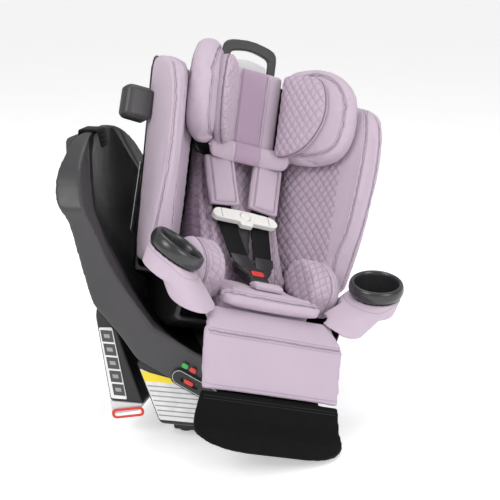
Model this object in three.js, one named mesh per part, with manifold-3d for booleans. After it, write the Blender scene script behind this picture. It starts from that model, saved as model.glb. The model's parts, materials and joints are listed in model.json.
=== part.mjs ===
// A rotating convertible car seat. Millimetres, +Z up.
// Origin: on the ground, in the middle of the whole part's bounding box.
// +X is the way the base faces, with its tall rear wall at -X.
// Seat frame: x to the child's left, y to the back, z along the turning axis.
// Torso frame: inside the seat frame, x the same, y behind the wing edges, z up along them.
import * as THREE from 'three';
import { mergeVertices } from 'three/addons/utils/BufferGeometryUtils.js';
import Module from 'manifold-3d';

const wasm = await Module();
wasm.setup();

// Driving dimensions
const TILT = 20;             // turning axis leans forward, degrees
const TURN = 34;             // seat turned towards the front from the door side, degrees
const LEAN = 30;             // torso edges lean back from the turning axis, degrees
const HIP = [15, 282];       // y, z of the lower end of the wing edges in the seat frame
const GAP = 0.4;             // clearance between touching pieces
const RECLINE_PIVOT = [60, 455];
const RECLINE_RADIUS = 300;
const PAN_HALF = 165;        // seat pan half width
const SHELL_HALF = 228;      // torso shell half width
const SHELL_EDGE = 58;       // front edge of the shell's sides, behind the wing edges
const SHELL_WALL = 8;
const HIP_TAPER = 0.00024;   // share of its width that the torso part loses per mm downwards
const BACK_DEPTH = 190;      // torso shell back, behind the wing edges
const FOOT_HALF = 152;
const FLANK_HALF = 170;
const WALL_HALF = 190;
const FRONT_RADIUS = 173;    // rounded front of the base about the turning axis
const WALL_TOP = 524;
const SILL_Z = 20;           // lower edge of the foot's sides
const PLINTH_Z = 0;          // underside of the inset plinth
const GROUND_Z = -8;         // underside of the rubber feet
const FLOOR_Z = 125;         // bowl floor along the turning axis
const DISC_RADIUS = 130;
const CUP_SPREAD = 196;
const CUP_Y = -80;
const CUP_Z = 345;
const CUP_LEAN = 18;          // the rims lean in towards the child
const CUP_RIM_RADIUS = 51;
const CUP_MOUTH_RADIUS = 40;
const CUP_DEPTH = 58;
const LEG_HALF = 134;         // half width at the foot of the leg panel
const LEG_TOP_HALF = 138;
const LIP_HALF = 142;
const LEG_TOP = [-150, 240];
const LEG_SEAM = [-217, 152];
const LIP_TIP = [-304, 90];
const WEBBING = 38;

// Materials
function material(color, roughness, metalness = 0) {
  return () => new THREE.MeshStandardMaterial({ color, roughness, metalness });
}
const lavender = material(0xcdbccb, 0.9);
const quilted = material(0xb7a2b4, 0.9);
const satin = material(0xb59bb0, 0.6);
const black = material(0x1a1a1c, 0.5);
const interior = material(0x101012, 0.4);
const charcoal = material(0x464446, 0.55);
const rimPlastic = material(0x3c3c3e, 0.4);
const paleGrey = material(0xcfcfcd, 0.6);
const ivory = material(0xebebe6, 0.35);
const red = material(0xe15041, 0.45);
const green = material(0x5abe64, 0.45);
const rubber = material(0x202020, 0.9);
const webbing = material(0x161618, 0.8);
const steel = material(0x9a9da0, 0.35, 1);
const labelWhite = material(0xe8e8e6, 0.7);

// Outlines with rounded corners; a point is [across, up] or [across, up, corner radius]
function towards(from, to, distance) {
  const step = to.clone().sub(from);
  const reach = Math.min(distance, step.length() * 0.49);
  return from.clone().add(step.setLength(reach));
}

function outline(points, radius = 0) {
  const corners = points.map(([a, b]) => new THREE.Vector2(a, b));
  const shape = new THREE.Shape();
  points.forEach(([, , own = radius], i) => {
    const corner = corners[i];
    const start = towards(corner, corners.at(i - 1), own);
    const end = towards(corner, corners[(i + 1) % corners.length], own);
    if (i === 0) shape.moveTo(start.x, start.y);
    else shape.lineTo(start.x, start.y);
    if (own > 0) shape.quadraticCurveTo(corner.x, corner.y, end.x, end.y);
  });
  shape.closePath();
  return shape;
}

function rectangle(width, height, radius = 0) {
  const [w, h] = [width / 2, height / 2];
  return outline([[-w, -h], [w, -h], [w, h], [-w, h]], radius);
}

function arc(centre, radius, fromDegrees, toDegrees, steps = 8) {
  return Array.from({ length: steps + 1 }, (_, i) => {
    const angle = THREE.MathUtils.degToRad(fromDegrees + (toDegrees - fromDegrees) * i / steps);
    return [centre[0] + radius * Math.cos(angle), centre[1] + radius * Math.sin(angle)];
  });
}

// A plate of the outline, centred on its own z = 0, with rounded edges if bevel is given
function plate(shape, thickness, bevel = 0, curveSegments = 3) {
  const depth = thickness - 2 * bevel;
  const options = { depth, curveSegments, bevelEnabled: bevel > 0, bevelThickness: bevel,
    bevelSize: bevel, bevelOffset: -bevel, bevelSegments: 1 };
  return new THREE.ExtrudeGeometry(shape, options).translate(0, 0, -depth / 2);
}

// The same plate seen from the side: the outline holds (y, z) and the width runs along x
const SIDE_VIEW = new THREE.Matrix4().set(0, 0, 1, 0, 1, 0, 0, 0, 0, 1, 0, 0, 0, 0, 0, 1);
function across(shape, width, bevel = 0) {
  return plate(shape, width, bevel).applyMatrix4(SIDE_VIEW);
}

// The outline holds (x, z) and the width runs along y, for the base's side profiles
function alongY(shape, width, bevel = 0) {
  return plate(shape, width, bevel).rotateX(Math.PI / 2);
}

function lathe(points, segments = 36) {
  const profile = points.map(([r, z]) => new THREE.Vector2(r, z));
  return new THREE.LatheGeometry(profile, segments).rotateX(Math.PI / 2);
}

function box(low, high) {
  const size = high.map((value, i) => value - low[i]);
  const middle = high.map((value, i) => (value + low[i]) / 2);
  return new THREE.BoxGeometry(...size).translate(...middle);
}

// A flat strip between two points, with its faces square to the side vector
function strip(from, to, width, thickness, side = [1, 0, 0]) {
  const a = new THREE.Vector3(...from);
  const b = new THREE.Vector3(...to);
  const run = b.clone().sub(a);
  const z = run.clone().normalize();
  const y = new THREE.Vector3().crossVectors(z, new THREE.Vector3(...side)).normalize();
  const x = new THREE.Vector3().crossVectors(y, z);
  const frame = new THREE.Matrix4().makeBasis(x, y, z).setPosition(a.add(b).multiplyScalar(0.5));
  return new THREE.BoxGeometry(width, thickness, run.length()).applyMatrix4(frame);
}

// Cutting and joining
function solid(geometry) {
  const bare = geometry.clone();
  bare.deleteAttribute('normal');
  bare.deleteAttribute('uv');
  const merged = mergeVertices(bare, 1e-3);
  return new wasm.Manifold(new wasm.Mesh({
    numProp: 3,
    vertProperties: merged.attributes.position.array,
    triVerts: new Uint32Array(merged.index.array),
  }));
}

function fromSolid(manifold) {
  const { vertProperties, triVerts } = manifold.getMesh();
  const geometry = new THREE.BufferGeometry();
  geometry.setAttribute('position', new THREE.BufferAttribute(vertProperties, 3));
  geometry.setIndex(new THREE.BufferAttribute(triVerts, 1));
  return geometry;
}

function join(...geometries) {
  return fromSolid(geometries.map(solid).reduce((all, next) => all.add(next)));
}

function cut(geometry, ...tools) {
  return fromSolid(tools.map(solid).reduce((left, tool) => left.subtract(tool), solid(geometry)));
}

function common(...geometries) {
  return fromSolid(geometries.map(solid).reduce((left, next) => left.intersect(next)));
}

function mirror(geometry) {
  const flipped = geometry.clone().scale(-1, 1, 1);
  const index = flipped.index ?? mergeVertices(flipped).index;
  const target = flipped.index ? flipped : mergeVertices(flipped);
  const order = Array.from(index.array);
  for (let i = 0; i < order.length; i += 3) [order[i], order[i + 1]] = [order[i + 1], order[i]];
  target.setIndex(order);
  return target;
}

// Groups: the base stands in the part's frame, the rest turns with the tilted axis
const seat3d = new THREE.Group();
const base = new THREE.Group();
const tilted = new THREE.Group();
tilted.rotation.y = THREE.MathUtils.degToRad(TILT);
const turned = new THREE.Group();
turned.rotation.z = THREE.MathUtils.degToRad(TURN);
const torso = new THREE.Group();
torso.position.set(0, HIP[0], HIP[1]);
torso.rotation.x = THREE.MathUtils.degToRad(-LEAN);
seat3d.add(base, tilted);
tilted.add(turned);
turned.add(torso);

function add(group, name, geometry, paint) {
  const mesh = new THREE.Mesh(geometry, paint());
  mesh.name = name;
  group.add(mesh);
  return mesh;
}

function addPair(group, name, geometry, paint) {
  add(group, `${name}_left`, geometry, paint);
  add(group, `${name}_right`, mirror(geometry), paint);
}

torso.updateMatrix();
tilted.updateMatrix();
const toSeat = (geometry) => geometry.applyMatrix4(torso.matrix);
const toPart = (geometry) => geometry.applyMatrix4(tilted.matrix);
const torsoPoint = (y, z) => {
  const lean = THREE.MathUtils.degToRad(LEAN);
  return [HIP[0] + y * Math.cos(lean) + z * Math.sin(lean),
    HIP[1] - y * Math.sin(lean) + z * Math.cos(lean)];
};

// ---- Base ----
// The bowl is a surface of revolution about the turning axis; its radius grows with height
function bowl(extra) {
  return lathe([
    [0, FLOOR_Z - extra], [140 + extra, FLOOR_Z - extra], [160 + extra, 164], [187 + extra, 180],
    [232 + extra, 226], [282 + extra, 279], [318 + extra, 328], [360 + extra, 423],
    [380 + extra, 480], [480, 700], [0, 700],
  ], 56);
}

// Outline of the scoop from the side, then from above along the axis, then of its rear wall
const scoopSide = outline([
  [228, 90], [150, 122], [34, 166], [-48, 208], [-92, 268], [-123, 319], [-155, 398, 30],
  [-178, 470, 30], [-190, WALL_TOP, 8], [-218, WALL_TOP, 12], [-220, 450, 20], [-213, 426, 8],
  [-193, 396, 20], [-167, 274, 60], [-155, 238, 10], [-111, 190, 20], [-80, 146, 10],
  [29, 92], [150, 40, 10], [214, 40, 30],
]);
const scoopPlan = new THREE.Shape();
scoopPlan.absarc(0, 0, FRONT_RADIUS, -Math.PI / 2, Math.PI / 2);
scoopPlan.lineTo(-180, FRONT_RADIUS);
scoopPlan.lineTo(-290, WALL_HALF);
scoopPlan.lineTo(-420, WALL_HALF);
scoopPlan.lineTo(-420, -WALL_HALF);
scoopPlan.lineTo(-290, -WALL_HALF);
scoopPlan.lineTo(-180, -FRONT_RADIUS);
scoopPlan.closePath();
const wallFront = outline([
  [-FLANK_HALF, 0], [FLANK_HALF, 0], [FLANK_HALF, 250, 60], [182, 396, 12], [WALL_HALF, 412, 8],
  [174, 444, 20], [148, 480, 30], [98, 510, 30], [54, WALL_TOP, 20], [-54, WALL_TOP, 20],
  [-98, 510, 30], [-148, 480, 30], [-174, 444, 20], [-WALL_HALF, 412, 8], [-182, 396, 12],
  [-FLANK_HALF, 250, 60],
]);
const planSolid = toPart(plate(scoopPlan, 700, 0, 20).translate(0, 0, 350));
const frontSolid = plate(wallFront, 700).rotateX(Math.PI / 2).rotateZ(Math.PI / 2);
const scoopBody = common(alongY(scoopSide, 2 * WALL_HALF + 2), planSolid, frontSolid);
const spigotHole = toPart(lathe([[0, 80], [22, 80], [22, 200], [0, 200]], 32));
add(base, 'scoop_shell', cut(scoopBody, toPart(bowl(4)), spigotHole), charcoal);
const liner = cut(toPart(bowl(4 - GAP)), toPart(bowl(0)), spigotHole);
const trimmed = alongY(scoopSide, 2 * WALL_HALF).translate(-1, 0, -1);
add(base, 'bowl_liner', common(liner, trimmed, planSolid, frontSolid), interior);

const footSide = outline([
  [-88, 131], [-47, SILL_Z, 8], [184, SILL_Z, 16], [196, 60, 14], [29, 92 - GAP],
  [-80, 146 - GAP],
]);
const underScoop = alongY(scoopSide, 2 * WALL_HALF + 4).translate(0, 0, -GAP);
const footBlock = common(alongY(footSide, 2 * FOOT_HALF, 5),
  toPart(plate(scoopPlan, 500, 0, 20).translate(0, 0, 100)));
const plinth = box([-30, -120, PLINTH_Z], [150, 120, SILL_Z + 20]);
add(base, 'base_foot', join(cut(footBlock, underScoop), plinth), black);

[['front', 130], ['rear', -12]].forEach(([end, x]) => {
  [['left', 95], ['right', -95]].forEach(([side, y]) => {
    const pad = lathe([[0, GROUND_Z], [13, GROUND_Z], [15, GROUND_Z + 2], [15, PLINTH_Z - GAP],
      [0, PLINTH_Z - GAP]], 16);
    add(base, `rubber_foot_${end}_${side}`, pad.translate(x, y, 0), rubber);
  });
});

const legSide = outline([
  [-158, 236], [-162, 214, 6], [-139, 56], [-76, 56], [-106, 141, 10], [-120, 190],
]);
const legBlock = alongY(legSide, 2 * FOOT_HALF - 4, 3);
add(base, 'rear_leg', cut(legBlock, alongY(scoopSide, 400).translate(0, 0, -GAP)), black);
const legEndSide = outline([[-139, 56 - GAP], [-135, 30, 4], [-84, 42, 4], [-76, 56 - GAP]]);
add(base, 'rear_leg_cap', alongY(legEndSide, 2 * FOOT_HALF - 2), paleGrey);

// Red release loop that hangs at the door side of the rear leg
const loopShape = rectangle(62, 18, 9);
loopShape.holes.push(rectangle(52, 9, 4.5));
const loopPlate = plate(loopShape, 3).rotateX(Math.PI / 2).rotateY(-0.2);
add(base, 'release_loop', loopPlate.translate(-104, -FOOT_HALF - 2, 38), red);

// Labels on the door side of the foot and of the rear leg
const footLabel = outline([[-80, 124, 3], [-45, 30, 3], [60, 30, 3], [60, 74, 3], [29, 86]]);
add(base, 'foot_label', alongY(footLabel, 1).translate(0, -FOOT_HALF - 1, 0), labelWhite);
const legLabel = outline([[-155, 194, 3], [-136, 62, 3], [-106, 62, 3], [-130, 196, 3]]);
add(base, 'leg_label', alongY(legLabel, 1).translate(0, -FOOT_HALF + 1, 0), labelWhite);

// Indicator on the flank: a rimmed panel with a sliding red lock and two lights
function onFlank(geometry, x, z, lift) {
  const slope = Math.atan2(92 - 146, 29 + 80);
  return geometry.rotateX(Math.PI / 2).rotateY(-slope).translate(x, -FRONT_RADIUS - lift, z);
}
const panelShape = rectangle(118, 30, 15);
const sliderSlot = outline([[-40, -5], [-6, -5], [-6, 5], [-40, 5]], 4);
panelShape.holes.push(sliderSlot);
add(base, 'indicator_panel', onFlank(plate(panelShape, 1.6), 38, 103, 1.2), black);
add(base, 'lock_slider', onFlank(plate(rectangle(18, 8, 3), 3), 16, 114, 2), red);
add(base, 'light_locked', onFlank(plate(rectangle(12, 9, 4), 1.6), 10, 144, 1.2), green);
add(base, 'light_unlocked', onFlank(plate(rectangle(12, 9, 4), 1.6), 24, 137, 1.2), red);

// Tether strap folded over the rear wall, with its adjuster
const strapSide = outline([
  [-178, 496], [-186, WALL_TOP + 4, 6], [-224, WALL_TOP + 4, 6], [-224, 466], [-221.5, 466],
  [-221.5, WALL_TOP + GAP, 4], [-188.5, WALL_TOP + GAP, 4], [-181, 497],
]);
add(base, 'tether_strap', alongY(strapSide, WEBBING), webbing).position.y = -20;
const adjuster = outline([[-248, 470], [-225, 470], [-225, 518], [-248, 510]], 8);
add(base, 'tether_adjuster', alongY(adjuster, 46, 3), charcoal).position.y = -20;

add(base, 'bearing_ring', toPart(lathe([
  [84, FLOOR_Z + GAP], [100, FLOOR_Z + GAP], [100, 134 - GAP], [84, 134 - GAP], [84, FLOOR_Z + GAP],
])), steel);

// ---- Turntable ----
const turntable = lathe([
  [0, 106], [20, 106], [20, 134], [DISC_RADIUS - 3, 134], [DISC_RADIUS, 137], [DISC_RADIUS, 143],
  [DISC_RADIUS - 3, 146], [0, 146],
]);
add(turned, 'turntable', turntable, black);
const railArc = arc(RECLINE_PIVOT, RECLINE_RADIUS + 3, -119, -79, 7);
const railLow = 146 + GAP;
const railShape = outline([...railArc, [railArc.at(-1)[0], railLow], [railArc[0][0], railLow]]);
addPair(turned, 'recline_rail', across(railShape, 22).translate(70, 0, 0), charcoal);

// ---- Seat shell ----
const clearance = lathe([
  [0, 135], [139, 138], [152, 164], [176, 182], [219, 228], [266, 280], [305, 330], [350, 423],
  [400, 470], [520, 520], [520, 800], [0, 800],
], 56);
const panArc = arc(RECLINE_PIVOT, RECLINE_RADIUS, -118, -64, 10);
const panOuter = across(outline([[-86, 262], [-92, 210], ...panArc.slice(1), [226, 262]]),
  2 * PAN_HALF, 8);
// Torso shell: a channel whose sides close in towards the back
function channel(inset, front) {
  const [wide, narrow, deep] = [SHELL_HALF - inset, 162 - inset, BACK_DEPTH - inset];
  return plate(outline([
    [-wide, front], [-wide, SHELL_EDGE + 14, 20], [-narrow, deep, 30], [narrow, deep, 30],
    [wide, SHELL_EDGE + 14, 20], [wide, front],
  ]), 520).translate(0, 0, 180);
}

// The torso part narrows evenly from its top to its hips
function taper(geometry) {
  const points = geometry.attributes.position;
  for (let i = 0; i < points.count; i += 1) {
    points.setX(i, points.getX(i) * (1 - HIP_TAPER * (320 - points.getZ(i))));
  }
  return geometry;
}
const backSide = across(outline([
  [SHELL_EDGE, -30], [SHELL_EDGE, 320, 60], [100, 388, 20], [150, 394, 20], [BACK_DEPTH, 366, 30],
  [BACK_DEPTH, 40, 60], [150, -42, 40],
]), 2 * SHELL_HALF + 20);
const backOuter = toSeat(common(taper(channel(0, SHELL_EDGE)), backSide));
const hollowSide = across(outline([
  [-60, -20], [-60, 420], [BACK_DEPTH, 420], [BACK_DEPTH, 60, 50], [150, -20],
]), 2 * SHELL_HALF + 20);
const backHollow = toSeat(common(taper(channel(SHELL_WALL, -60)), hollowSide));
const panHollow = across(outline([
  [-140, 300], [-140, 214], [-84, 214], [-40, 196, 20], [40, 186, 20], [120, 190, 20], [180, 216, 20],
  [215, 300],
]), 2 * (PAN_HALF - SHELL_WALL));
const panOutside = common(panOuter, clearance);
const backOutside = common(backOuter, clearance);
// The hollow stops short of the rounded underside, so that the wall there stays whole
const hollowRoom = lathe([
  [0, 146], [129, 146], [143, 164], [167, 182], [210, 228], [257, 280], [296, 330], [339, 423],
  [391, 470], [511, 520], [511, 800], [0, 800],
], 56);
const shell = cut(join(panOutside, backOutside), common(backHollow, hollowRoom),
  common(panHollow, hollowRoom));
add(turned, 'seat_shell', shell, black);

const runner = outline([...arc(RECLINE_PIVOT, RECLINE_RADIUS + GAP, -96, -76, 5),
  ...arc(RECLINE_PIVOT, RECLINE_RADIUS + 6, -76, -96, 5)]);
add(turned, 'recline_runner', across(runner, 60), steel);

const lever = outline([[-128, 226], [-128, 214], [-93, 214], [-93, 222]]);
add(turned, 'recline_lever', across(lever, 70, 2), rimPlastic);

// ---- Seat pads ----
const padRoom = lathe([
  [0, 146], [126, 146], [140, 164], [164, 182], [207, 228], [254, 280], [293, 330], [336, 423],
  [388, 470], [508, 520], [508, 800], [0, 800],
], 56);
const cushion = outline([
  [-112, 261, 4], [-119, 271, 8], [-100, 283, 12], [-40, 266, 20], [32, 246], [32, 216], [-78, 216],
  [-78, 261],
]);
const cushionPlan = plate(outline([
  [-86, 40], [-86, -72], [-99, -78, 6], [-99, -104, 20], [-80, -121, 20], [80, -121, 20],
  [99, -104, 20], [99, -78, 6], [86, -72], [86, 40],
]), 700);
add(turned, 'seat_cushion', common(across(cushion, 200), cushionPlan), lavender);

const bolster = outline([
  [-58, 240, 10], [-64, 268], [-70, 292, 24], [-46, 322, 26], [20, 328, 26], [60, 300, 22],
  [66, 268], [56, 240, 10],
]);
addPair(turned, 'thigh_bolster', across(bolster, 59, 5).translate(117, 0, 0), quilted);

const backPad = outline([
  [32, 262], [80, 287, 20], [150, 332, 20], torsoPoint(138, 218), torsoPoint(140, 345),
  torsoPoint(178, 345), torsoPoint(178, 70), [176, 234], [150, 212], [32, 212],
]);
add(turned, 'back_pad', common(across(backPad, 172, 3), padRoom), quilted);

// Side pads: a wrapped wing front and a sloping inner face, rounded over the top
const wingSection = outline([
  [112, 172], [112, 128, 6], [156, 66, 20], [184, 0, 10], [208, -50, 12], [221, -52, 12],
  [SHELL_HALF, 0, 20], [SHELL_HALF, SHELL_EDGE - GAP], [SHELL_HALF - 10, SHELL_EDGE - GAP],
  [SHELL_HALF - 12, SHELL_EDGE + 12], [158, 160, 10], [146, 172],
]);
const wingSide = outline([
  [52, -12], [14, -8, 20], [-36, 120, 90], [-54, 235, 90], [-36, 326, 40], [6, 360, 20],
  [100, 376, 10], [BACK_DEPTH, 376], [BACK_DEPTH, 60], [130, 10],
]);
const wing = common(taper(plate(wingSection, 520).translate(0, 0, 180)), across(wingSide, 520));
addPair(turned, 'side_pad', common(toSeat(wing), padRoom), lavender);

// ---- Cup holders ----
function cupPlace(geometry) {
  return geometry.rotateY(THREE.MathUtils.degToRad(-CUP_LEAN)).translate(CUP_SPREAD, CUP_Y, CUP_Z);
}
const rim = [
  [0, -CUP_DEPTH], [33, -CUP_DEPTH], [41, -26], [CUP_RIM_RADIUS - 4, -24], [CUP_RIM_RADIUS, -14],
  [CUP_RIM_RADIUS - 2, -3], [46, 1], [42, 0], [CUP_MOUTH_RADIUS, -4], [39, -12],
  [30.5, 3 - CUP_DEPTH], [0, 3 - CUP_DEPTH],
];
addPair(turned, 'cup_holder', cupPlace(lathe(rim, 40)), rimPlastic);

// The cover is a leaning cone under the rim, hollow for the cup, whose wide foot wraps the front
// corner of the seat pan
const coverTop = new THREE.Vector3(CUP_SPREAD + 8, CUP_Y, CUP_Z - 26);
const coverFoot = new THREE.Vector3(146, -94, 250);
function leaningCone(topRadius, footX, footY) {
  const cone = new THREE.CylinderGeometry(1, 1, 2, 36).rotateX(Math.PI / 2);
  const points = cone.attributes.position;
  const leanAxis = new THREE.Vector3(0, 1, 0);
  const tip = new THREE.Vector3();
  for (let i = 0; i < points.count; i += 1) {
    tip.fromBufferAttribute(points, i);
    const top = tip.z > 0;
    tip.z = 0;
    if (top) {
      tip.multiplyScalar(topRadius).applyAxisAngle(leanAxis, THREE.MathUtils.degToRad(-CUP_LEAN));
      tip.add(coverTop);
    } else tip.set(tip.x * footX, tip.y * footY, 0).add(coverFoot);
    points.setXYZ(i, tip.x, tip.y, tip.z);
  }
  return cone;
}
const cupRoom = cupPlace(lathe([
  [0, -CUP_DEPTH - 1], [34, -CUP_DEPTH - 1], [42, -26], [42, 20], [0, 20],
], 40));
const sleeve = cupPlace(lathe([
  [0, -CUP_DEPTH - 5], [37, -CUP_DEPTH - 5], [47, -26], [0, -26],
], 40));
const panSide = box([-300, -98, 0], [PAN_HALF + 1, 300, 262]);
const besideBolster = box([-300, -74, 0], [148, 300, 600]);
const besideLeg = box([-300, -300, 0], [PAN_HALF - 34, 300, 254]);
const besideCushion = box([-300, -300, 0], [101, 300, 600]);
addPair(turned, 'cup_cover', cut(join(leaningCone(49, 44, 50), sleeve), cupRoom, panSide,
  besideBolster, besideLeg, besideCushion), lavender);

// ---- Harness ----
// The straps run in the torso frame from the shoulder slots over the back pad to the buckle
const strapTop = [54, 116, 222];
const strapMid = [39, 84, 112];
const strapLow = [24, 16, 22];
const harness = join(strip(strapTop, strapMid, WEBBING, 2), strip(strapMid, strapLow, WEBBING, 2));
addPair(torso, 'harness_strap', harness, webbing);
const padRun = new THREE.Vector3(...strapMid).sub(new THREE.Vector3(...strapTop)).normalize();
const padNormal = new THREE.Vector3(0, -0.943, 0.333);
function inFront(point, along, lift) {
  return new THREE.Vector3(...point).addScaledVector(padRun, along)
    .addScaledVector(padNormal, lift).toArray();
}
const padTop = inFront(strapTop, 3, 10);
const padLow = inFront(strapTop, 104, 10);
addPair(torso, 'shoulder_pad', strip(padTop, padLow, 62, 14), lavender);

const clipFront = plate(outline([
  [-71, -5, 8], [-62, -15, 8], [-14, -15], [-12, -24], [12, -24], [14, -15],
  [62, -15, 8], [71, -5, 8], [62, 11, 10], [0, 15, 20], [-62, 11, 10],
]), 11);
const clipTurn = new THREE.Matrix4().makeRotationX(THREE.MathUtils.degToRad(90 - 37));
const clipAt = [0, 68, 106];
const buttonHole = lathe([[0, 0.6], [11, 0.6], [11, 20], [0, 20]], 28);
add(torso, 'chest_clip', cut(clipFront, buttonHole).applyMatrix4(clipTurn), ivory)
  .position.set(...clipAt);
add(torso, 'clip_button', lathe([[0, 3], [10.4, 3], [10.4, 6], [9, 7], [0, 7]], 28)
  .applyMatrix4(clipTurn), ivory).position.set(...clipAt);

const buckleShape = outline([
  [-34, 30], [-38, 8], [-22, -14], [-20, -34], [20, -34], [22, -14], [38, 8],
  [34, 30], [0, 24],
]);
const buckleTurn = new THREE.Matrix4().makeRotationX(THREE.MathUtils.degToRad(90 - 50));
const buckleAt = [0, -3, -6];
const buttonSlot = plate(rectangle(27, 15, 4), 20).translate(0, -13, 11);
add(torso, 'buckle', cut(plate(buckleShape, 20, 4), buttonSlot).applyMatrix4(buckleTurn), black)
  .position.set(...buckleAt);
add(torso, 'buckle_button', plate(rectangle(26, 14, 4), 7, 1.5).translate(0, -13, 8)
  .applyMatrix4(buckleTurn), red).position.set(...buckleAt);
const crotch = outline([[-72, 282], [-50, 277], [-36, 275], [-38, 282], [-52, 291], [-70, 292]]);
add(turned, 'crotch_pad', across(crotch, 56, 2), lavender);

// ---- Leg rest ----
const legRun = new THREE.Vector2(LEG_SEAM[0] - LEG_TOP[0], LEG_SEAM[1] - LEG_TOP[1]).normalize();
const legBack = new THREE.Vector2(-legRun.y, legRun.x);
function legPoint([y, z], depth, along = 0) {
  return [y + legBack.x * depth + legRun.x * along, z + legBack.y * depth + legRun.y * along];
}
const legPanel = outline([
  [...legPoint(LEG_TOP, 0), 10], legPoint(LEG_SEAM, 0), legPoint(LEG_SEAM, 12),
  [...legPoint(LEG_TOP, 13), 4], [-93, 240], [-93, 252, 4],
]);
const legTaper = plate(outline([
  [-126, 400], [-126, 243], [-LEG_TOP_HALF, 228, 8], [-LEG_HALF, 148], [-LEG_HALF, 60],
  [LEG_HALF, 60], [LEG_HALF, 148], [LEG_TOP_HALF, 228, 8], [126, 243], [126, 400],
]), 700).rotateX(Math.PI / 2);
add(turned, 'leg_panel', common(across(legPanel, 2 * LEG_TOP_HALF), legTaper), lavender);
const legLip = outline([
  legPoint(LEG_SEAM, 1, 1), [-244, 108, 20], [LIP_TIP[0], LIP_TIP[1] + 4, 4],
  [LIP_TIP[0], LIP_TIP[1] - 3, 4], [-240, 94, 24], legPoint(LEG_SEAM, 9, 1),
]);
const lipPlan = plate(outline([
  [-LEG_HALF, 0], [-LEG_HALF, LEG_SEAM[0]], [-LIP_HALF, -242, 20], [-LIP_HALF, -272, 30],
  [-92, LIP_TIP[0], 40], [92, LIP_TIP[0], 40], [LIP_HALF, -272, 30], [LIP_HALF, -242, 20],
  [LEG_HALF, LEG_SEAM[0]], [LEG_HALF, 0],
]), 700);
const tongue = across(outline([
  legPoint(LEG_SEAM, 13, -70), legPoint(LEG_SEAM, 13, 12), legPoint(LEG_SEAM, 18, 12),
  legPoint(LEG_SEAM, 18, -70),
]), 200);
const apron = common(across(legLip, 2 * LIP_HALF), lipPlan);
const tongueRoot = across(outline([
  legPoint(LEG_SEAM, 5, 2), legPoint(LEG_SEAM, 5, 12), legPoint(LEG_SEAM, 18, 12),
  legPoint(LEG_SEAM, 18, 2),
]), 200);
add(turned, 'leg_extension', join(apron, tongue, tongueRoot), black);

// ---- Side impact pods and the shell label ----
const SHELL_TAPER = Math.atan2(SHELL_HALF - 162, BACK_DEPTH - SHELL_EDGE - 14);
const POD_HINGE = [229, 70.5];
const podBody = plate(outline([
  [2, -16], [52, -18, 14], [58, 16, 14], [2, 24],
]), 62, 7).translate(SHELL_HALF + GAP, 44, 268);
add(torso, 'impact_pod_right', mirror(podBody), charcoal);
const stowed = podBody.clone().translate(-POD_HINGE[0], -POD_HINGE[1], 0)
  .rotateZ(Math.PI / 2 + SHELL_TAPER).translate(...POD_HINGE, 0);
add(torso, 'impact_pod_left', stowed, charcoal);
const shellLabel = across(rectangle(34, 130, 3), 1.2);
add(torso, 'shell_label', shellLabel.rotateZ(-SHELL_TAPER).translate(-208, 104, 110), paleGrey);

// ---- Headrest ----
const headPlate = plate(outline([
  [-100, 226, 20], [100, 226, 20], [100, 396, 30], [-100, 396, 30],
]), 9, 2).rotateX(Math.PI / 2);
add(torso, 'headrest_shell', headPlate.translate(0, 130, 0), black);
const facePanel = plate(outline([
  [-61, 230, 6], [61, 230, 6], [61, 408, 6], [-61, 408, 6],
]), 24, 4).rotateX(Math.PI / 2);
add(torso, 'headrest_panel', facePanel.translate(0, 113, 0), satin);

// Lobes and pillows stand in a plane that opens outwards from the panel
const LOBE_SPLAY = 31;
function splay(geometry) {
  return geometry.applyMatrix4(SIDE_VIEW).rotateZ(THREE.MathUtils.degToRad(LOBE_SPLAY))
    .translate(84, 112, 0);
}
const lobeShape = outline([
  [4, 240, 16], [-60, 229, 40], [-134, 239, 50], [-162, 304, 60], [-150, 388, 60], [-90, 432, 60],
  [4, 428, 24],
]);
addPair(torso, 'headrest_lobe', splay(plate(lobeShape, 40, 8).translate(0, 0, 2)), lavender);
const pillowShape = outline([
  [-8, 238, 16], [-70, 250, 40], [-116, 320, 50], [-98, 400, 30], [-8, 408, 16],
]);
addPair(torso, 'headrest_pillow', splay(plate(pillowShape, 30, 6).translate(0, 0, -34)), quilted);

const handleShape = outline([
  [-60, 392, 6], [60, 392, 6], [60, 468, 18], [0, 481, 60], [-60, 468, 18],
]);
handleShape.holes.push(outline([
  [-43, 406, 6], [43, 406, 6], [43, 448, 10], [0, 459, 60], [-43, 448, 10],
]));
add(torso, 'headrest_handle', plate(handleShape, 13, 3).rotateX(Math.PI / 2)
  .translate(0, 143, 0), charcoal);
const releaseShape = outline([
  [-39, 408, 3], [39, 408, 3], [39, 431, 6], [0, 440, 40], [-39, 431, 6],
]);
add(torso, 'headrest_release', plate(releaseShape, 7, 1).rotateX(Math.PI / 2)
  .translate(0, 143, 0), paleGrey);

// Set the origin on the ground in the middle of the bounding box
seat3d.updateMatrixWorld(true);
const bounds = new THREE.Box3().setFromObject(seat3d, true);
const centre = bounds.getCenter(new THREE.Vector3());
seat3d.position.set(-centre.x, -centre.y, -bounds.min.z);

export default seat3d;
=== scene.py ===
"""A rotating convertible car seat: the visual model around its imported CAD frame."""
import json
import math

import bmesh
import bpy
import numpy as np
from mathutils import Matrix, Vector
from mathutils.bvhtree import BVHTree
from mathutils.kdtree import KDTree


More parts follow.
